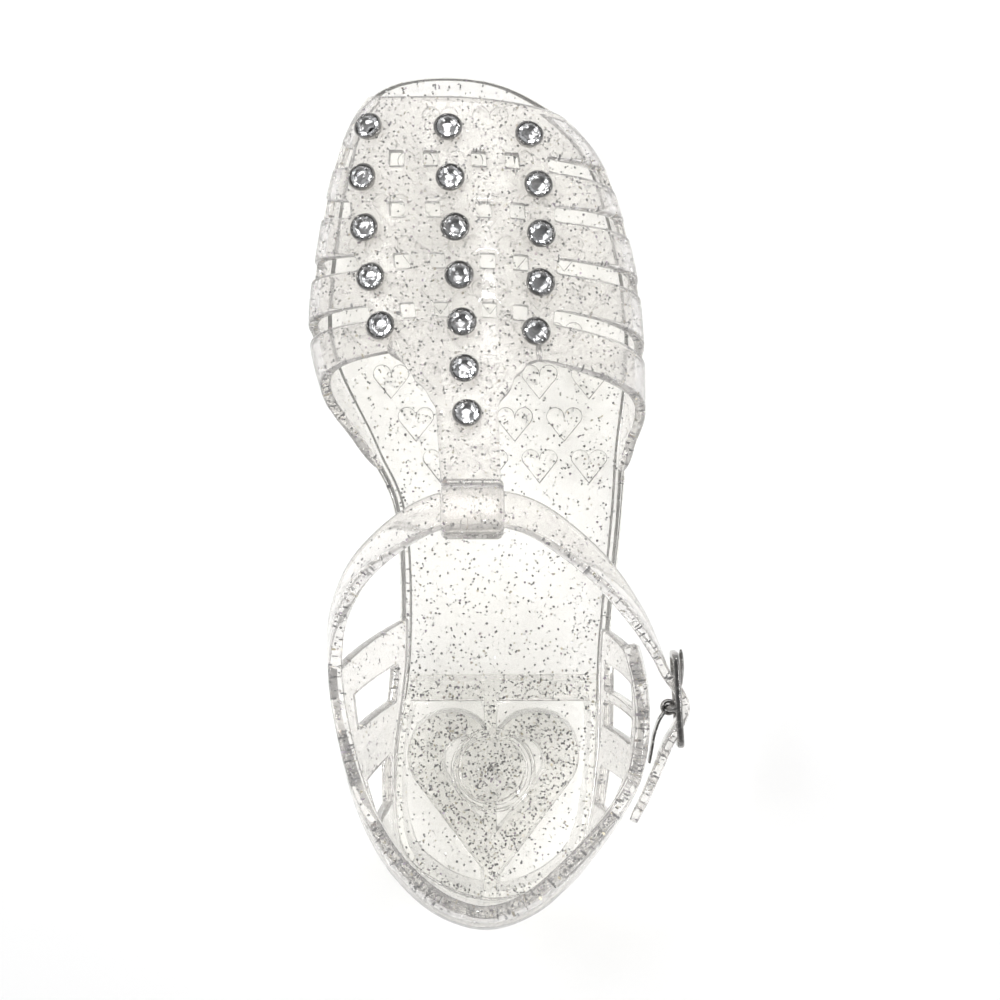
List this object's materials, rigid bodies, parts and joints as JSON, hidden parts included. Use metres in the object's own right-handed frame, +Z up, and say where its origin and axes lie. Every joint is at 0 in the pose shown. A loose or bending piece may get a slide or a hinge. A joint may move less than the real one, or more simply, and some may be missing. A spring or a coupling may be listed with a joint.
{
  "type": "jelly sandal",
  "caption": "Clear glitter PVC child's sandal for the right foot: closed-heel collar, T-bar, pierced cage toe with faceted stones in metal cups, and a buckled ankle strap.",
  "frame": {"origin": "on the floor under the middle of the heel", "axes": "+Z up, +Y from the heel to the toe, +X to the outer side of the right foot"},
  "size_m": [0.0927, 0.2089, 0.0661],
  "materials": {
    "pvc_sole": "gloss",
    "pvc_upper": "gloss",
    "buckle_metal": "polished",
    "cup_metal": "polished",
    "stone": "faceted"
  },
  "bodies": {
    "root": {"sole": "pvc_sole", "front_upper": "pvc_upper", "rear_upper": "pvc_upper", "buckle_frame": "buckle_metal", "buckle_anchor": "buckle_metal", "buckle_prong": "buckle_metal", "stone_01": "stone", "stone_02": "stone", "stone_03": "stone", "stone_04": "stone", "stone_05": "stone", "stone_06": "stone", "stone_07": "stone", "stone_08": "stone", "stone_09": "stone", "stone_10": "stone", "stone_11": "stone", "stone_12": "stone", "stone_13": "stone", "stone_14": "stone", "stone_15": "stone", "stone_16": "stone", "stone_17": "stone", "stone_cup_01": "cup_metal", "stone_cup_02": "cup_metal", "stone_cup_03": "cup_metal", "stone_cup_04": "cup_metal", "stone_cup_05": "cup_metal", "stone_cup_06": "cup_metal", "stone_cup_07": "cup_metal", "stone_cup_08": "cup_metal", "stone_cup_09": "cup_metal", "stone_cup_10": "cup_metal", "stone_cup_11": "cup_metal", "stone_cup_12": "cup_metal", "stone_cup_13": "cup_metal", "stone_cup_14": "cup_metal", "stone_cup_15": "cup_metal", "stone_cup_16": "cup_metal", "stone_cup_17": "cup_metal"}
  },
  "joints": []
}
